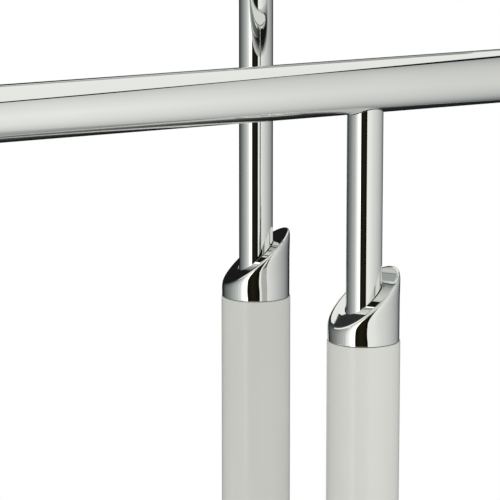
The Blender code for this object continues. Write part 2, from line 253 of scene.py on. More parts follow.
def off_white_powder_coat():
    """Baked powder paint: an even warm off-white with a fine orange peel under a soft gloss."""
    material, tree, shader = grained_material(
        "off_white_powder_coat", COAT_TONES, COAT_CLOUDS, COAT_ROUGHNESS, COAT_HAZE)
    emboss(tree, shader, COAT_PEEL, COAT_PEEL_DEPTH)
    shader.inputs["Specular IOR Level"].default_value = COAT_SPECULAR
    shader.inputs["Coat Weight"].default_value = COAT_GLOSS
    shader.inputs["Coat Roughness"].default_value = COAT_GLOSS_ROUGHNESS
    return material


powder_coat = off_white_powder_coat()
for side in SIDES:
    node = "foot_bar_" + side
    low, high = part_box(node)
    centre = middle(node)
    size = high - low
    outer = outline(size, 0, BAR_CORNER)
    sawn = outline(size, BAR_SAWN_EDGE, BAR_CORNER - BAR_SAWN_EDGE)
    inner = outline(size, BAR_WALL, BAR_CORNER - BAR_WALL)
    loops = [(inner, low.y), (sawn, low.y), (outer, low.y + BAR_SAWN_EDGE),
             (outer, high.y - BAR_SAWN_EDGE), (sawn, high.y), (inner, high.y)]
    bar = skin("coated_foot_bar_" + side, along_bar(loops, centre), True)
    drills = []
    for row in ROWS:
        sleeve = middle(row + "_sleeve_" + side)
        insert = middle("leveller_insert_" + side + "_" + row)
        drills.append(upright_drill(BOLT_HOLE_RADIUS, sleeve, centre.z, high.z + size.z))
        drills.append(upright_drill(ACCESS_HOLE_RADIUS, sleeve, low.z - size.z, centre.z))
        drills.append(upright_drill(INSERT_HOLE_RADIUS, insert, low.z - size.z, centre.z))
    cut(bar, drills)
    fit(bar, powder_coat, "off_white_paint", "frame", node)

# Foot bar end caps
# A moulded black plastic cap closes each end of a foot bar, with a rounded edge and a shallow sunk face.
# Its plug is pushed into the tube and holds by friction.
CAP_THICKNESS = 0.003
CAP_EDGE_RADIUS = 0.0012
CAP_EDGE_STEPS = 5
CAP_FACE_BORDER = 0.0045
CAP_FACE_CORNER = 0.0025
CAP_FACE_SINK = 0.0004
CAP_PLUG_GAP = 0.0003
PLASTIC_TONES = ((0.022, 0.022, 0.023), (0.034, 0.034, 0.035))
PLASTIC_CLOUDS = ((90, 90, 90), 3)
PLASTIC_ROUGHNESS = (0.42, 0.58)
PLASTIC_HAZE = ((240, 240, 240), 3)
PLASTIC_GRAIN = ((1800, 1800, 1800), 2)
PLASTIC_GRAIN_DEPTH = 0.00004


def black_moulded_plastic():
    """Moulded plastic with a fine spark-eroded grain."""
    material, tree, shader = grained_material(
        "black_moulded_plastic", PLASTIC_TONES, PLASTIC_CLOUDS, PLASTIC_ROUGHNESS, PLASTIC_HAZE)
    emboss(tree, shader, PLASTIC_GRAIN, PLASTIC_GRAIN_DEPTH)
    return material


black_plastic = black_moulded_plastic()
for side in SIDES:
    for row in ROWS:
        node = "foot_cap_" + side + "_" + row
        low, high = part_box(node)
        size = high - low
        outwards = -1 if row == "front" else 1
        face = low.y if row == "front" else high.y
        plug_end = high.y if row == "front" else low.y
        seat = face - outwards * CAP_THICKNESS
        plug = outline(size, BAR_WALL + CAP_PLUG_GAP, BAR_CORNER - BAR_WALL)
        loops = [(plug, plug_end), (plug, seat), (outline(size, 0, BAR_CORNER), seat)]
        for step in range(CAP_EDGE_STEPS + 1):
            angle = QUARTER_TURN * step / CAP_EDGE_STEPS
            inset = CAP_EDGE_RADIUS * (1 - math.cos(angle))
            back = CAP_EDGE_RADIUS * (1 - math.sin(angle))
            loops.append((outline(size, inset, BAR_CORNER - inset), face - outwards * back))
        for border, sink in ((CAP_FACE_BORDER, 0), (CAP_FACE_BORDER + CAP_FACE_SINK, CAP_FACE_SINK)):
            loops.append((outline(size, border, CAP_FACE_CORNER), face - outwards * sink))
        cap = skin("moulded_" + node, along_bar(loops, middle(node)), False)
        fit(cap, black_plastic, "black_plastic", "frame", node)

# Threaded inserts
# A zinc-plated steel insert with a thin flange is pressed up into each leveller hole of the foot bar.
# It carries the thread for the levelling foot.
INSERT_FLANGE = 0.0015
INSERT_BODY_RADIUS = 0.0077
SPINDLE_BORE = 0.0054
INSERT_EDGE = 0.0003
INSERT_SIDES = 48
EASE_STEPS = 6
ZINC_TONES = ((0.56, 0.58, 0.61), (0.68, 0.69, 0.69))
ZINC_CLOUDS = ((160, 160, 160), 4)
ZINC_ROUGHNESS = (0.24, 0.42)
ZINC_HAZE = ((420, 420, 420), 4)
ZINC_GRAIN = ((2200, 2200, 2200), 2)
ZINC_GRAIN_DEPTH = 0.00001


def eased(corners):
    """Points of a section whose corners, given as radius, height and ease, are rounded by their ease."""
    points = []
    for index, (radius, height, ease) in enumerate(corners):
        corner = Vector((radius, height))
        if ease == 0:
            points.append(corner)
            continue
        before = (Vector(corners[index - 1][:2]) - corner).normalized()
        after = (Vector(corners[(index + 1) % len(corners)][:2]) - corner).normalized()
        half_angle = before.angle(after) / 2
        centre = corner + (before + after).normalized() * (ease / math.sin(half_angle))
        start = corner + before * (ease / math.tan(half_angle)) - centre
        end = corner + after * (ease / math.tan(half_angle)) - centre
        for step in range(EASE_STEPS + 1):
            points.append(centre + start.lerp(end, step / EASE_STEPS).normalized() * ease)
    return points


def all_round(points):
    """A section that is the same at every angle."""
    return lambda angle: points


def turned(section, sides, place):
    """Rings of a turned piece, whose section gives points of radius and height at an angle round local Z."""
    columns = []
    for step in range(sides):
        angle = math.tau * step / sides
        column = []
        for radius, height in section(angle):
            column.append(place @ Vector((radius * math.cos(angle), radius * math.sin(angle), height)))
        columns.append(column)
    return [list(ring) for ring in zip(*columns)]


def bright_zinc():
    """Zinc-plated steel: a dull bluish bright metal with a slightly cloudy surface."""
    material, tree, shader = grained_material(
        "bright_zinc", ZINC_TONES, ZINC_CLOUDS, ZINC_ROUGHNESS, ZINC_HAZE)
    emboss(tree, shader, ZINC_GRAIN, ZINC_GRAIN_DEPTH)
    shader.inputs["Metallic"].default_value = 1.0
    return material


zinc = bright_zinc()
for side in SIDES:
    for row in ROWS:
        node = "leveller_insert_" + side + "_" + row
        low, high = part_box(node)
        axis = middle(node)
        flange = (high.x - low.x) / 2
        length = high.z - low.z
        section = all_round(eased([
            (SPINDLE_BORE, 0, INSERT_EDGE), (flange, 0, INSERT_EDGE), (flange, INSERT_FLANGE, INSERT_EDGE),
            (INSERT_BODY_RADIUS, INSERT_FLANGE, 0), (INSERT_BODY_RADIUS, length, INSERT_EDGE),
            (SPINDLE_BORE, length, 0)]))
        rings = turned(section, INSERT_SIDES, Matrix.Translation((axis.x, axis.y, low.z)))
        fit(skin("plated_" + node, rings, True), zinc, "zinc_steel", "frame", node)

# Levelling feet
# Each foot is a black plastic pad with a fluted grip edge, moulded round the end of a zinc-plated spindle.
# The spindle, whose thread is drawn as rings, screws up into the insert to raise or lower that corner.
PAD_HEIGHT = 0.010
PAD_EDGE_HEIGHT = 0.005
PAD_SHOULDER_RADIUS = 0.009
PAD_BASE_EDGE = 0.001
PAD_EDGE_EASE = 0.001
PAD_CORNER_EASE = 0.0005
PAD_FLUTES = 20
PAD_FLUTE_DEPTH = 0.0007
PAD_CENTRE_RADIUS = 0.0025
PAD_SIDES = 160
SPINDLE_RADIUS = 0.005
SPINDLE_SIDES = 40
THREAD_PITCH = 0.0015
THREAD_DEPTH = 0.0008
THREAD_ROOT_SHARE = 0.1
THREAD_CREST_SHARES = (0.45, 0.65)


def fluted(pad_radius):
    """The section of a pad, drawn in at each flute of its edge."""
    base_radius = pad_radius - PAD_BASE_EDGE - PAD_FLUTE_DEPTH

    def section(angle):
        rim = pad_radius - PAD_FLUTE_DEPTH * max(0.0, math.cos(PAD_FLUTES * angle)) ** 2
        return eased([
            (PAD_CENTRE_RADIUS, 0, 0), (base_radius, 0, 0), (rim, PAD_BASE_EDGE, PAD_CORNER_EASE),
            (rim, PAD_EDGE_HEIGHT, PAD_EDGE_EASE), (PAD_SHOULDER_RADIUS, PAD_HEIGHT, PAD_CORNER_EASE),
            (SPINDLE_RADIUS, PAD_HEIGHT, 0)])

    return section


def threaded(length):
    """The section of a spindle above its pad, with a ring for each turn of the thread."""
    root = SPINDLE_RADIUS - THREAD_DEPTH
    points = [(root, PAD_HEIGHT)]
    for turn in range(int((length - PAD_HEIGHT) / THREAD_PITCH)):
        start = PAD_HEIGHT + turn * THREAD_PITCH
        points.append((root, start + THREAD_PITCH * THREAD_ROOT_SHARE))
        for share in THREAD_CREST_SHARES:
            points.append((SPINDLE_RADIUS, start + THREAD_PITCH * share))
    points.append((root, length))
    return all_round(points)


for side in SIDES:
    for row in ROWS:
        node = "leveller_" + side + "_" + row
        body = node + "_foot"
        low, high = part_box(node)
        axis = middle(node)
        place = Matrix.Translation((axis.x, axis.y, low.z))
        pad_rings = turned(fluted((high.x - low.x) / 2), PAD_SIDES, place)
        pad = skin("moulded_pad_" + side + "_" + row, pad_rings, False)
        fit(pad, black_plastic, "black_plastic", body, node)
        spindle_rings = turned(threaded(high.z - low.z), SPINDLE_SIDES, place)
        spindle = skin("threaded_spindle_" + side + "_" + row, spindle_rings, False)
        fit(spindle, zinc, "zinc_steel", body)

# Sleeves
# Four upright round steel tubes carry the rails. Each has a threaded base welded in its lower end, a hole
# across it for the stretcher bolt and deburred edges, and is powder coated like the foot bars.
SLEEVE_WALL = 0.0015
SLEEVE_BASE = 0.012
SLEEVE_EDGE = 0.0006
SLEEVE_SIDES = 128
CROSS_HOLE_RADIUS = 0.0043
CROSS_HOLE_BAND = 0.012
for row in ROWS:
    hole_height = middle(row + "_stretcher").z
    for side in SIDES:
        node = row + "_sleeve_" + side
        low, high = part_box(node)
        axis = middle(node)
        radius = (high.x - low.x) / 2
        bore = radius - SLEEVE_WALL
        length = high.z - low.z
        band_low = hole_height - low.z - CROSS_HOLE_BAND
        band_high = hole_height - low.z + CROSS_HOLE_BAND
        section = all_round(eased([
            (radius, 0, SLEEVE_EDGE), (radius, band_low, 0), (radius, band_high, 0),
            (radius, length, SLEEVE_EDGE), (bore, length, SLEEVE_EDGE), (bore, band_high, 0),
            (bore, band_low, 0), (bore, SLEEVE_BASE, 0), (BOLT_HOLE_RADIUS, SLEEVE_BASE, 0),
            (BOLT_HOLE_RADIUS, 0, 0)]))
        rings = turned(section, SLEEVE_SIDES, Matrix.Translation((axis.x, axis.y, low.z)))
        sleeve = skin("coated_" + node, rings, True)
        start = Vector((low.x - radius, axis.y, hole_height))
        end = Vector((high.x + radius, axis.y, hole_height))
        cut(sleeve, [round_tool(CROSS_HOLE_RADIUS, start, end)])
        fit(sleeve, powder_coat, "off_white_paint", "frame", node)

# Base bolts
# A zinc-plated button-head bolt is driven up through each access hole, and pulls the sleeve's threaded base
# down on to the foot bar. Its head has a six-sided socket.
HEAD_EDGE_SHARE = 0.45
HEAD_TIP_SHARE = 0.02
HEAD_DOME_STEPS = 12
SOCKET_DEPTH_SHARE = 0.6
SOCKET_CORNER_SHARE = 0.4158
SOCKET_SIDES = 6
BOLT_SIDES = 48
BASE_BOLT_HEAD = 0.006
BASE_BOLT_RADIUS = 0.005


def button_bolt(name, head_radius, head_height, shank_radius, length, place):
    """A bolt with a domed head below local z = 0, a six-sided socket in the head and a shank above it."""
    dome = head_height * (1 - HEAD_EDGE_SHARE)
    points = []
    for step in range(HEAD_DOME_STEPS):
        angle = QUARTER_TURN * (1 - step / HEAD_DOME_STEPS)
        radius = head_radius * (HEAD_TIP_SHARE + (1 - HEAD_TIP_SHARE) * math.cos(angle))
        points.append((radius, dome * (1 - math.sin(angle)) - head_height))
    points.append((head_radius, dome - head_height))
    points.extend([(head_radius, 0), (shank_radius, 0), (shank_radius, length)])
    bolt = skin(name, turned(all_round(points), BOLT_SIDES, place), False)
    mouth = place @ Vector((0, 0, -2 * head_height))
    socket_floor = place @ Vector((0, 0, -head_height * (1 - SOCKET_DEPTH_SHARE)))
    cut(bolt, [round_tool(head_radius * SOCKET_CORNER_SHARE, mouth, socket_floor, SOCKET_SIDES)])
    return bolt


for row in ROWS:
    for side in SIDES:
        node = row + "_base_bolt_" + side
        low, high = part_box(node)
        axis = middle(node)
        seat = low.z + BASE_BOLT_HEAD
        place = Matrix.Translation((axis.x, axis.y, seat))
        bolt = button_bolt("plated_" + node, (high.x - low.x) / 2, BASE_BOLT_HEAD, BASE_BOLT_RADIUS,
                           high.z - seat, place)
        fit(bolt, zinc, "zinc_steel", "frame", node)

# Stretchers
# Two low chromed tubes tie the left and right sleeves. Their ends are notched to fit round the sleeves, and
# a threaded web is welded inside each end.
STRETCHER_WALL = 0.0015
STRETCHER_WEB = 0.010
STRETCHER_BOLT_BORE = 0.0043
STRETCHER_SIDES = 96
NOTCH_EDGE = 0.0003
NOTCH_GAP = 0.0003
ALONG_X = Matrix.Rotation(QUARTER_TURN, 4, "Y")
CHROME_TONES = ((0.783, 0.798, 0.772), (0.805, 0.818, 0.793))
CHROME_CLOUDS = ((9, 9, 9), 2)
CHROME_ROUGHNESS = (0.006, 0.018)
CHROME_WAVES = ((26, 26, 26), 1)
CHROME_WAVE_DEPTH = 0.00003
POLISH_LINES = 420
POLISH_LINES_LENGTHWAYS = 9
POLISH_DETAIL = 4


def mirror_chrome(name, lengthways):
    """Bright chromium plate over polished steel, with faint polishing lines and a slight waviness."""
    lines = [POLISH_LINES_LENGTHWAYS if axis == lengthways else POLISH_LINES for axis in "xyz"]
    material, tree, shader = grained_material(
        name, CHROME_TONES, CHROME_CLOUDS, CHROME_ROUGHNESS, (lines, POLISH_DETAIL))
    emboss(tree, shader, CHROME_WAVES, CHROME_WAVE_DEPTH)
    shader.inputs["Metallic"].default_value = 1.0
    return material


def notch_end(crossing, notch, offset):
    """How far a tube's wall reaches, at an offset from its axis, before the notch for a crossing tube."""
    return crossing - math.sqrt(notch ** 2 - offset ** 2)


def notched(radius, crossing, notch):
    """The section of a stretcher, whose ends follow the round of the sleeves."""
    bore = radius - STRETCHER_WALL
    web_face = crossing - notch - NOTCH_GAP
    web_back = web_face - STRETCHER_WEB

    def section(angle):
        outer_end = notch_end(crossing, notch, radius * math.sin(angle))
        inner_end = notch_end(crossing, notch, bore * math.sin(angle))
        return eased([
            (radius, -outer_end, NOTCH_EDGE), (radius, outer_end, NOTCH_EDGE), (bore, inner_end, 0),
            (bore, web_face, 0), (STRETCHER_BOLT_BORE, web_face, 0), (STRETCHER_BOLT_BORE, web_back, 0),
            (bore, web_back, 0), (bore, -web_back, 0), (STRETCHER_BOLT_BORE, -web_back, 0),
            (STRETCHER_BOLT_BORE, -web_face, 0), (bore, -web_face, 0), (bore, -inner_end, 0)])

    return section


chrome_across = mirror_chrome("mirror_chrome_rails", "x")
for row in ROWS:
    node = row + "_stretcher"
    low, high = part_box(node)
    sleeve_low, sleeve_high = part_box(row + "_sleeve_right")
    crossing = middle(row + "_sleeve_right").x
    notch = (sleeve_high.x - sleeve_low.x) / 2 + NOTCH_GAP
    section = notched((high.z - low.z) / 2, crossing, notch)
    rings = turned(section, STRETCHER_SIDES, Matrix.Translation(middle(node)) @ ALONG_X)
    fit(skin("plated_" + node, rings, True), chrome_across, "chrome", "frame", node)

# Stretcher bolts
# A chromed steel bolt with a button head and a six-sided socket ties each end of a stretcher. It runs
# through the sleeve from its outer side into the stretcher's threaded web.
STRETCHER_BOLT_HEAD = 0.0045
STRETCHER_BOLT_HEAD_RADIUS = 0.007
STRETCHER_BOLT_RADIUS = 0.004
for row in ROWS:
    for side in SIDES:
        node = row + "_stretcher_bolt_" + side
        low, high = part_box(node)
        axis = middle(node)
        inwards = -1 if side == "right" else 1
        seat = (high.x if side == "right" else low.x) + inwards * STRETCHER_BOLT_HEAD
        turn = Matrix.Rotation(inwards * QUARTER_TURN, 4, "Y")
        place = Matrix.Translation((seat, axis.y, axis.z)) @ turn
        bolt = button_bolt("plated_" + node, STRETCHER_BOLT_HEAD_RADIUS, STRETCHER_BOLT_HEAD,
                           STRETCHER_BOLT_RADIUS, high.x - low.x - STRETCHER_BOLT_HEAD, place)
        fit(bolt, chrome_across, "chrome", "frame", node)

# Guide bushes
# A moulded black plastic bush is pressed into the top of each sleeve and guides the post. The collar
# turns on its neck, and hides it.
for row in ROWS:
    for side in SIDES:
        coat(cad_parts[row + "_bush_" + side], black_plastic)

# Twist collars
# A heavy turned collar, cut on a slant and chromed, sits on each sleeve and turns on the bush's neck.
# Its cut face is flat. Polishing has softened its rim, rolled its side in there and left it slimmer below.
COLLAR_LOW_HEIGHT = 0.0099
COLLAR_FACE_SOFTENED = 0.0026
COLLAR_SIDE_SOFTENED = 0.0014
COLLAR_RIM_STEPS = 12
COLLAR_ROLL_HEIGHT = 0.006
COLLAR_ROLL_INSET = 0.001
COLLAR_ROLL_SHARE = 0.72
COLLAR_ROLL_POWER = 3
COLLAR_ROLL_STEPS = 6
COLLAR_WAIST = 0.0003
COLLAR_WAIST_DEPTH = 0.014
COLLAR_WAIST_STEPS = 8
COLLAR_BORE_EDGE = 0.0002
COLLAR_FOOT_EDGE = 0.0003
COLLAR_BORE = 0.0133
COLLAR_RECESS = 0.0083
COLLAR_RECESS_RADIUS = 0.0175
COLLAR_SIDES = 192
COLLAR_TURN = {"front": math.radians(0), "back": math.radians(13.5)}


def slanted(radius, slope):
    """The section of a collar, whose top rises across it and whose rim is softened all round."""
    centre_height = COLLAR_LOW_HEIGHT + slope * radius
    rim_radius = radius - COLLAR_ROLL_INSET

    def section(angle):
        rise = slope * math.cos(angle)
        rim = Vector((rim_radius, centre_height + rise * rim_radius))
        roll_foot = rim.y - COLLAR_ROLL_HEIGHT
        corners = []
        for step in range(COLLAR_WAIST_STEPS + 1):
            height = roll_foot * step / COLLAR_WAIST_STEPS
            depth = min((roll_foot - height) / COLLAR_WAIST_DEPTH, 1)
            waist = COLLAR_WAIST * depth * depth * (3 - 2 * depth)
            corners.append((radius - waist, height, COLLAR_FOOT_EDGE if step == 0 else 0))
        for step in range(1, COLLAR_ROLL_STEPS + 1):
            share = COLLAR_ROLL_SHARE * step / COLLAR_ROLL_STEPS
            inset = COLLAR_ROLL_INSET * share ** COLLAR_ROLL_POWER
            corners.append((radius - inset, roll_foot + COLLAR_ROLL_HEIGHT * share, 0))
        down_side = (Vector(corners[-1][:2]) - rim).normalized() * COLLAR_SIDE_SOFTENED
        in_face = Vector((-1, -rise)).normalized() * COLLAR_FACE_SOFTENED
        for step in range(COLLAR_RIM_STEPS + 1):
            share = step / COLLAR_RIM_STEPS
            softened = rim + down_side * (1 - share) ** 2 + in_face * share ** 2
            corners.append((*softened, 0))
        corners.extend([
            (COLLAR_BORE, centre_height + rise * COLLAR_BORE, COLLAR_BORE_EDGE),
            (COLLAR_BORE, COLLAR_RECESS, 0), (COLLAR_RECESS_RADIUS, COLLAR_RECESS, 0),
            (COLLAR_RECESS_RADIUS, 0, 0)])
        return eased(corners)

    return section


chrome_upright = mirror_chrome("mirror_chrome_posts", "z")
for row in ROWS:
    for side in SIDES:
        node = row + "_collar_" + side
        low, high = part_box(node)
        axis = middle(node)
        radius = (high.x - low.x) / 2
        slope = (high.z - low.z - COLLAR_LOW_HEIGHT) / (2 * radius)
        facing = -COLLAR_TURN[row] if side == "right" else math.pi + COLLAR_TURN[row]
        place = Matrix.Translation((axis.x, axis.y, low.z)) @ Matrix.Rotation(facing, 4, "Z")
        collar = skin("polished_" + node, turned(slanted(radius, slope), COLLAR_SIDES, place), True)
        fit(collar, chrome_upright, "chrome", node + "_ring", node)

# Sliders
# A turned slider of pale nylon is pressed into the lower end of each post. It runs inside the sleeve and
# stops the post under the guide bush.
NYLON_TONES = ((0.52, 0.52, 0.49), (0.58, 0.58, 0.55))
NYLON_CLOUDS = ((120, 120, 30), 3)
NYLON_ROUGHNESS = (0.42, 0.56)
NYLON_HAZE = ((300, 300, 900), 3)
NYLON_TOOL_MARKS = ((60, 60, 2400), 2)
NYLON_TOOL_MARK_DEPTH = 0.00003


def pale_nylon():
    """Turned nylon with a soft, waxy surface and fine tool marks."""
    material, tree, shader = grained_material(
        "pale_nylon", NYLON_TONES, NYLON_CLOUDS, NYLON_ROUGHNESS, NYLON_HAZE)
    emboss(tree, shader, NYLON_TOOL_MARKS, NYLON_TOOL_MARK_DEPTH)
    return material


nylon = pale_nylon()
for row in ROWS:
    for side in SIDES:
        coat(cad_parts[row + "_slider_" + side], nylon)

# Posts
# Four chromed steel tubes slide in the bushes. The head of each is notched to fit under its rail, and a web
# welded inside it takes the rail bolt.
POST_WALL = 0.0015
POST_WEB = 0.008
POST_BOLT_BORE = 0.0043
POST_FOOT_EDGE = 0.0003
POST_MOUTH_EDGE = 0.00015
POST_SIDES = 128


def saddled(radius, crown, saddle):
    """The section of a post, whose mouth follows the underside of the rail."""
    bore = radius - POST_WALL
    web_top = crown - saddle - NOTCH_GAP
    web_bottom = web_top - POST_WEB

    def section(angle):
        outer_mouth = notch_end(crown, saddle, radius * math.sin(angle))
        inner_mouth = notch_end(crown, saddle, bore * math.sin(angle))
        return eased([
            (radius, 0, POST_FOOT_EDGE), (radius, outer_mouth, POST_MOUTH_EDGE), (bore, inner_mouth, 0),
            (bore, web_top, 0), (POST_BOLT_BORE, web_top, 0), (POST_BOLT_BORE, web_bottom, 0),
            (bore, web_bottom, 0), (bore, 0, 0)])

    return section


for row in ROWS:
    rail_low, rail_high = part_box(row + "_rail")
    rail_height = middle(row + "_rail").z
    saddle = (rail_high.z - rail_low.z) / 2 + NOTCH_GAP
    for side in SIDES:
        node = row + "_post_" + side
        low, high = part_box(node)
        axis = middle(node)
        section = saddled((high.x - low.x) / 2, rail_height - low.z, saddle)
        rings = turned(section, POST_SIDES, Matrix.Translation((axis.x, axis.y, low.z)))
        fit(skin("plated_" + node, rings, True), chrome_upright, "chrome", row + "_carriage", node)

# Rail bolts and nut plates
# A zinc-plated bolt runs up through the post's web into a curved nut plate inside the rail, and clamps the
# rail down on the post. Both are hidden once the rack is put together.
for row in ROWS:
    for side in SIDES:
        for kind in ("_rail_bolt_", "_nut_plate_"):
            coat(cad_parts[row + kind + side], zinc)

# Hanging rails
# Two thick chromed tubes, one lower in front and one higher behind, carry the hangers. They are drilled
# underneath for the rail bolts.
RAIL_WALL = 0.0015
RAIL_END_EDGE = 0.0004
RAIL_SIDES = 160
RAIL_HOLE_BAND = 0.012
RAIL_BOLT_HOLE = 0.0043
for row in ROWS:
    node = row + "_rail"
    low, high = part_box(node)
    axis = middle(node)
    radius = (high.z - low.z) / 2
    bore = radius - RAIL_WALL
    half = (high.x - low.x) / 2
    stations = []
    for side in SIDES:
        hole = middle(row + "_post_" + side).x - axis.x
        stations.extend([hole - RAIL_HOLE_BAND, hole + RAIL_HOLE_BAND])
    corners = [(radius, -half, RAIL_END_EDGE)]
    corners.extend((radius, station, 0) for station in stations)
    corners.extend([(radius, half, RAIL_END_EDGE), (bore, half, RAIL_END_EDGE)])
    corners.extend((bore, station, 0) for station in reversed(stations))
    corners.append((bore, -half, RAIL_END_EDGE))
    rings = turned(all_round(eased(corners)), RAIL_SIDES, Matrix.Translation(axis) @ ALONG_X)
    rail = skin("plated_" + node, rings, True)
    drills = []
    for side in SIDES:
        drills.append(upright_drill(RAIL_BOLT_HOLE, middle(row + "_post_" + side), low.z - radius, axis.z))
    cut(rail, drills)
    fit(rail, chrome_across, "chrome", row + "_carriage", node)

# Rail end caps
# A turned and chromed cap with a low dome closes each end of a rail. Its plug is driven into the bore, and a
# fine groove shows where cap and rail meet.
CAP_RIM = 0.0025
CAP_RIM_EDGE = 0.0003
CAP_DOME = 0.0045
CAP_DOME_STEPS = 14
CAP_PLUG_CENTRE_SHARE = 0.5
for row in ROWS:
    for side in SIDES:
        node = row + "_rail_cap_" + side
        low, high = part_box(node)
        axis = middle(node)
        radius = (high.z - low.z) / 2
        length = high.x - low.x
        rim = length - CAP_RIM - CAP_DOME
        plug = radius - RAIL_WALL - CAP_RIM_EDGE
        points = eased([
            (plug * CAP_PLUG_CENTRE_SHARE, 0, 0), (plug, 0, CAP_RIM_EDGE), (plug, rim, 0),
            (radius, rim, CAP_RIM_EDGE), (radius, length - CAP_DOME, 0)])
        for step in range(1, CAP_DOME_STEPS):
            angle = QUARTER_TURN * step / CAP_DOME_STEPS
            points.append((radius * math.cos(angle), length - CAP_DOME * (1 - math.sin(angle))))
        outwards = 1 if side == "right" else -1
        plug_end = low.x if side == "right" else high.x
        turn = Matrix.Rotation(outwards * QUARTER_TURN, 4, "Y")
        place = Matrix.Translation((plug_end, axis.y, axis.z)) @ turn
        cap = skin("plated_" + node, turned(all_round(points), RAIL_SIDES, place), False)
        fit(cap, chrome_across, "chrome", row + "_carriage", node)

# Camera
# A long lens on a stand in front of the rack and to its left looks down at the right-hand posts and collars.
# It is held level from side to side and has no shift.
LENS = 216
SENSOR_WIDTH = 36
CAMERA_FROM_SLEEVE_TOP = Vector((-1.0144, -1.8014, 0.4833))
CAMERA_YAW = math.radians(27.16)
CAMERA_PITCH = math.radians(11.455)
sleeve_axis = middle("front_sleeve_right")
sleeve_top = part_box("front_sleeve_right")[1].z
camera = add_object("camera", bpy.data.cameras.new("camera"))
camera.data.lens = LENS
camera.data.sensor_width = SENSOR_WIDTH
camera.location = Vector((sleeve_axis.x, sleeve_axis.y, sleeve_top)) + CAMERA_FROM_SLEEVE_TOP
camera.rotation_euler = (QUARTER_TURN - CAMERA_PITCH, 0, -CAMERA_YAW)
bpy.context.scene.camera = camera

# Studio surround
# The camera sees a white backdrop. The metal mirrors a dark room, with a pale panel at the left, a bright
# strip along the panel's edge and a dark gap where the camera stands. All else gets an even soft light.
STUDIO_YAW = math.radians(32.4)
SURROUND_COLOURS = (
    (-180, (0.012, 0.012, 0.012)), (-143, (0.012, 0.012, 0.012)), (-95, (0.267, 0.286, 0.284)),
    (-65, (0.54, 0.557, 0.554)), (-42, (1.14, 1.14, 1.13)), (-37, (1.36, 1.34, 1.30)),
    (-33, (2.30, 2.26, 2.15)), (-24, (2.30, 2.26, 2.15)), (-22, (0.006, 0.005, 0.002)),
    (-3, (0.017, 0.0155, 0.0085)), (16, (0.006, 0.005, 0.002)), (180, (0.012, 0.012, 0.012)))
SOFT_LIGHT = 0.733
SOFT_LEAN = 0.125


def fill_ramp(ramp, stops):
    """Sets a colour ramp's stops, each a position from 0 to 1 with its colour."""
    while len(ramp.elements) > 1:
        ramp.elements.remove(ramp.elements[-1])
    for index, (share, colour) in enumerate(stops):
        stop = ramp.elements[0] if index == 0 else ramp.elements.new(share)
        stop.position = share
        stop.color = (*colour, 1.0)


away = Vector((math.sin(STUDIO_YAW), math.cos(STUDIO_YAW), 0))
rightwards = Vector((math.cos(STUDIO_YAW), -math.sin(STUDIO_YAW), 0))
world = bpy.data.worlds.new("studio")
bpy.context.scene.world = world
world.use_nodes = True
tree = world.node_tree
tree.nodes.clear()
direction = tree.nodes.new("ShaderNodeTexCoord")
parts = []
for towards in (rightwards, -away):
    part = tree.nodes.new("ShaderNodeVectorMath")
    part.operation = "DOT_PRODUCT"
    part.inputs[1].default_value = towards
    tree.links.new(direction.outputs["Generated"], part.inputs[0])
    parts.append(part.outputs["Value"])
bearing = tree.nodes.new("ShaderNodeMath")
bearing.operation = "ARCTAN2"
tree.links.new(parts[0], bearing.inputs[0])
tree.links.new(parts[1], bearing.inputs[1])
turn_share = tree.nodes.new("ShaderNodeMapRange")
turn_share.inputs["From Min"].default_value = -math.pi
turn_share.inputs["From Max"].default_value = math.pi
tree.links.new(bearing.outputs["Value"], turn_share.inputs["Value"])
panels = tree.nodes.new("ShaderNodeValToRGB")
fill_ramp(panels.color_ramp, [((angle + 180) / 360, colour) for angle, colour in SURROUND_COLOURS])
tree.links.new(turn_share.outputs["Result"], panels.inputs["Fac"])
mirrored = tree.nodes.new("ShaderNodeBackground")
tree.links.new(panels.outputs["Color"], mirrored.inputs["Color"])
leaning = tree.nodes.new("ShaderNodeMath")
leaning.operation = "MULTIPLY_ADD"
leaning.inputs[1].default_value = -SOFT_LEAN
leaning.inputs[2].default_value = SOFT_LIGHT
tree.links.new(parts[0], leaning.inputs[0])
soft = tree.nodes.new("ShaderNodeBackground")
white = tree.nodes.new("ShaderNodeBackground")
for plain in (soft, white):
    plain.inputs["Color"].default_value = (1, 1, 1, 1)
tree.links.new(leaning.outputs["Value"], soft.inputs["Strength"])
rays = tree.nodes.new("ShaderNodeLightPath")
for_metal = tree.nodes.new("ShaderNodeMixShader")
for_camera = tree.nodes.new("ShaderNodeMixShader")
output = tree.nodes.new("ShaderNodeOutputWorld")
tree.links.new(rays.outputs["Is Glossy Ray"], for_metal.inputs[0])
tree.links.new(soft.outputs["Background"], for_metal.inputs[1])
tree.links.new(mirrored.outputs["Background"], for_metal.inputs[2])
tree.links.new(rays.outputs["Is Camera Ray"], for_camera.inputs[0])
tree.links.new(for_metal.outputs["Shader"], for_camera.inputs[1])
tree.links.new(white.outputs["Background"], for_camera.inputs[2])
tree.links.new(for_camera.outputs["Shader"], output.inputs["Surface"])

# Studio cards
# Lit cards for the metal to mirror: a softbox overhead, a panel at the right with a thin gap to it, a far
# and a grey card past the softbox, and a floor card. The camera sees none. Only the softbox lights the paint.
SOFTBOX_RISE = 0.85
SOFTBOX_FAR_EDGE = (
    (-1.90, 1.30), (-1.50, 1.25), (-1.36, 0.95), (-1.20, 0.74), (-0.95, 0.74), (-0.80, 1.62), (0.415, 1.62))
SOFTBOX_NEAR_LEVELS = ((-1.45, 0.50), (-1.10, 0.52), (-0.70, 0.90), (-0.50, 0.98))
SOFTBOX_LEVEL = 0.98
PANEL_RIGHT = 0.451
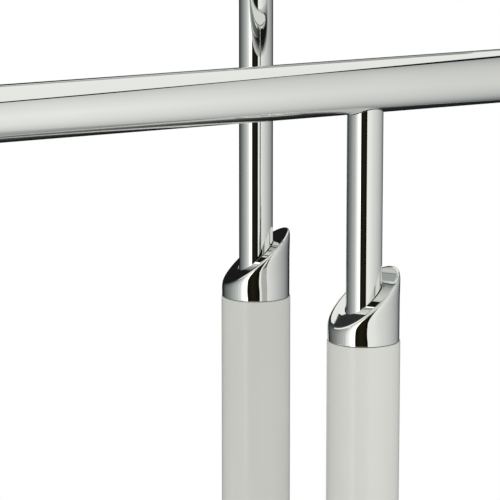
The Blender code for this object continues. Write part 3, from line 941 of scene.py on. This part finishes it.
# Each upright line of the panel has its place forward, its level of light and the height of its top end.
PANEL_LINES = (
    (-1.48, 0.98, 1.985), (-0.55, 0.97, 1.985), (-0.32, 0.87, 1.985), (-0.12, 0.78, 2.025),
    (0.02, 0.69, 2.050), (0.16, 0.59, 1.980), (0.26, 0.52, 1.945), (0.40, 0.43, 1.935),
    (0.55, 0.335, 1.935), (0.90, 0.16, 1.935), (1.30, 0.03, 1.935), (2.40, 0.01, 1.935))
# Each height on the panel, with None for the top end, has its near and far shares of that level.
PANEL_SHARES = (
    (0.03, 0.80, 0.74), (0.50, 0.99, 0.79), (1.10, 1.04, 0.93), (1.70, 0.76, 1.0), (1.90, 0.64, 1.0),
    (None, 0.56, 0.98))
PANEL_FAR = 0.9
FLOOR_CARD_HEIGHT = 0.004
FLOOR_CARD_LEFT = -2.4
FLOOR_CARD_LEVELS = (
    (-2.40, 0.75), (-0.50, 0.66), (-0.25, 0.52), (0.00, 0.37), (0.25, 0.18), (0.50, 0.09), (0.90, 0.02),
    (2.40, 0.01))
FAR_CARD_EDGE = ((-1.30, 1.42), (-1.1625, 1.311), (-1.1406, 1.3169), (-1.1361, 1.3082), (-1.05, 1.24))
FAR_CARD_END = 1.55
FAR_CARD_LEVEL = 0.98
GREY_CARD_SIDES = (-0.50, 0.415)
GREY_CARD_LEVELS = ((1.62, 0.42), (3.20, 0.42))
# A card's tone is cooler where its level is low.
CARD_TONES = (
    (0.00, (0.940, 0.990, 1.020)), (0.55, (0.977, 0.996, 1.000)), (0.72, (1.006, 1.002, 0.980)),
    (1.00, (1.000, 1.000, 0.990)))


def card(name, rows):
    """A stage card over rows of points, each with its own level of light, hidden from the camera."""
    mesh = bmesh.new()
    light = mesh.verts.layers.float.new("level")
    lines = []
    for row in rows:
        line = []
        for point, level in row:
            corner = mesh.verts.new(point)
            corner[light] = level
            line.append(corner)
        lines.append(line)
    for lower, upper in zip(lines, lines[1:]):
        for this in range(len(lower) - 1):
            mesh.faces.new((lower[this], lower[this + 1], upper[this + 1], upper[this]))
    made = add_mesh(name, mesh)
    material = bpy.data.materials.new(name)
    material.use_nodes = True
    tree = material.node_tree
    tree.nodes.remove(tree.nodes["Principled BSDF"])
    level = tree.nodes.new("ShaderNodeAttribute")
    level.attribute_name = "level"
    tone = tree.nodes.new("ShaderNodeValToRGB")
    fill_ramp(tone.color_ramp, CARD_TONES)
    glow = tree.nodes.new("ShaderNodeEmission")
    tree.links.new(level.outputs["Fac"], tone.inputs["Fac"])
    tree.links.new(tone.outputs["Color"], glow.inputs["Color"])
    tree.links.new(level.outputs["Fac"], glow.inputs["Strength"])
    tree.links.new(glow.outputs["Emission"], tree.nodes["Material Output"].inputs["Surface"])
    coat(made, material)
    made.visible_camera = False
    return made


def over_rack(right, forward, height):
    """A point given from the front right post, along the studio's own right and away directions."""
    place = sleeve_axis + rightwards * right + away * forward
    return Vector((place.x, place.y, height))


def card_row(right, height, levels):
    """A row of a flat card, from its places forward and their levels of light."""
    return [(over_rack(right, forward, height), level) for forward, level in levels]


softbox_height = middle("front_rail").z + SOFTBOX_RISE
softbox_rows = []
for right, far in SOFTBOX_FAR_EDGE:
    softbox_rows.append(card_row(right, softbox_height, (*SOFTBOX_NEAR_LEVELS, (far, SOFTBOX_LEVEL))))
card("overhead_softbox", softbox_rows)
panel_near = PANEL_LINES[0][0]
panel_rows = []
for height, near_share, far_share in PANEL_SHARES:
    panel_row = []
    for forward, level, top in PANEL_LINES:
        depth = min((forward - panel_near) / (PANEL_FAR - panel_near), 1)
        share = near_share + (far_share - near_share) * depth
        rise = top if height is None else height
        panel_row.append((over_rack(PANEL_RIGHT, forward, rise), level * share))
    panel_rows.append(panel_row)
floor_rows = []
for right in (FLOOR_CARD_LEFT, PANEL_RIGHT):
    floor_rows.append(card_row(right, FLOOR_CARD_HEIGHT, FLOOR_CARD_LEVELS))
far_rows = []
for right, start in FAR_CARD_EDGE:
    far_levels = ((start, FAR_CARD_LEVEL), (FAR_CARD_END, FAR_CARD_LEVEL))
    far_rows.append(card_row(right, softbox_height, far_levels))
grey_rows = [card_row(right, softbox_height, GREY_CARD_LEVELS) for right in GREY_CARD_SIDES]
for name, rows in (("side_panel", panel_rows), ("floor_card", floor_rows), ("far_card", far_rows),
                   ("grey_card", grey_rows)):
    metal_only = card(name, rows)
    metal_only.visible_diffuse = False
    metal_only.visible_shadow = False

# Front light
# A long strip of soft light stands in front of the rack at the height of the sleeves' tops. It lifts the
# paint there, and is out of the metal's sight.
FRONT_LIGHT_DISTANCE = 0.75
FRONT_LIGHT_WIDTH = 2.6
FRONT_LIGHT_HEIGHT = 0.9
FRONT_LIGHT_POWER = 4.2
front_light = add_object("front_light", bpy.data.lights.new("front_light", "AREA"))
front_light.data.shape = "RECTANGLE"
front_light.data.size = FRONT_LIGHT_WIDTH
front_light.data.size_y = FRONT_LIGHT_HEIGHT
front_light.data.energy = FRONT_LIGHT_POWER
front_light.location = (0, sleeve_axis.y - FRONT_LIGHT_DISTANCE, sleeve_top)
front_light.rotation_euler = (QUARTER_TURN, 0, 0)
front_light.visible_camera = False
front_light.visible_glossy = False

# Floor
# A plain pale matt floor takes the rack's soft shadow. It is a round sheet that fades into the white
# backdrop towards its edge.
FLOOR_RADIUS = 2.6
FLOOR_CLEAR = 1.2
FLOOR_FADED = 2.496
FLOOR_SIDES = 128
FLOOR_DROP = 0.0002
FLOOR_TONES = ((0.84, 0.84, 0.83), (0.87, 0.87, 0.865))
FLOOR_CLOUDS = ((6, 6, 6), 4)
FLOOR_ROUGHNESS = (0.7, 0.85)
FLOOR_HAZE = ((40, 40, 40), 3)
FLOOR_SPECULAR = 0.2
mesh = bmesh.new()
floor_height = cad_low.z - FLOOR_DROP
mesh.faces.new([mesh.verts.new((x, y, floor_height)) for x, y in circle(FLOOR_RADIUS, FLOOR_SIDES)])
floor = add_mesh("floor", mesh)
material, tree, shader = grained_material(
    "pale_floor", FLOOR_TONES, FLOOR_CLOUDS, FLOOR_ROUGHNESS, FLOOR_HAZE)
shader.inputs["Specular IOR Level"].default_value = FLOOR_SPECULAR
place = tree.nodes.new("ShaderNodeTexCoord")
distance = tree.nodes.new("ShaderNodeVectorMath")
distance.operation = "LENGTH"
fade = tree.nodes.new("ShaderNodeMapRange")
fade.interpolation_type = "SMOOTHSTEP"
fade.inputs["From Min"].default_value = FLOOR_CLEAR
fade.inputs["From Max"].default_value = FLOOR_FADED
backdrop = tree.nodes.new("ShaderNodeEmission")
blend = tree.nodes.new("ShaderNodeMixShader")
tree.links.new(place.outputs["Object"], distance.inputs[0])
tree.links.new(distance.outputs["Value"], fade.inputs["Value"])
tree.links.new(fade.outputs["Result"], blend.inputs[0])
tree.links.new(shader.outputs["BSDF"], blend.inputs[1])
tree.links.new(backdrop.outputs["Emission"], blend.inputs[2])
tree.links.new(blend.outputs["Shader"], tree.nodes["Material Output"].inputs["Surface"])
coat(floor, material)

# Picture
# Colours are shown as they are lit.
bpy.context.scene.view_settings.view_transform = "Standard"
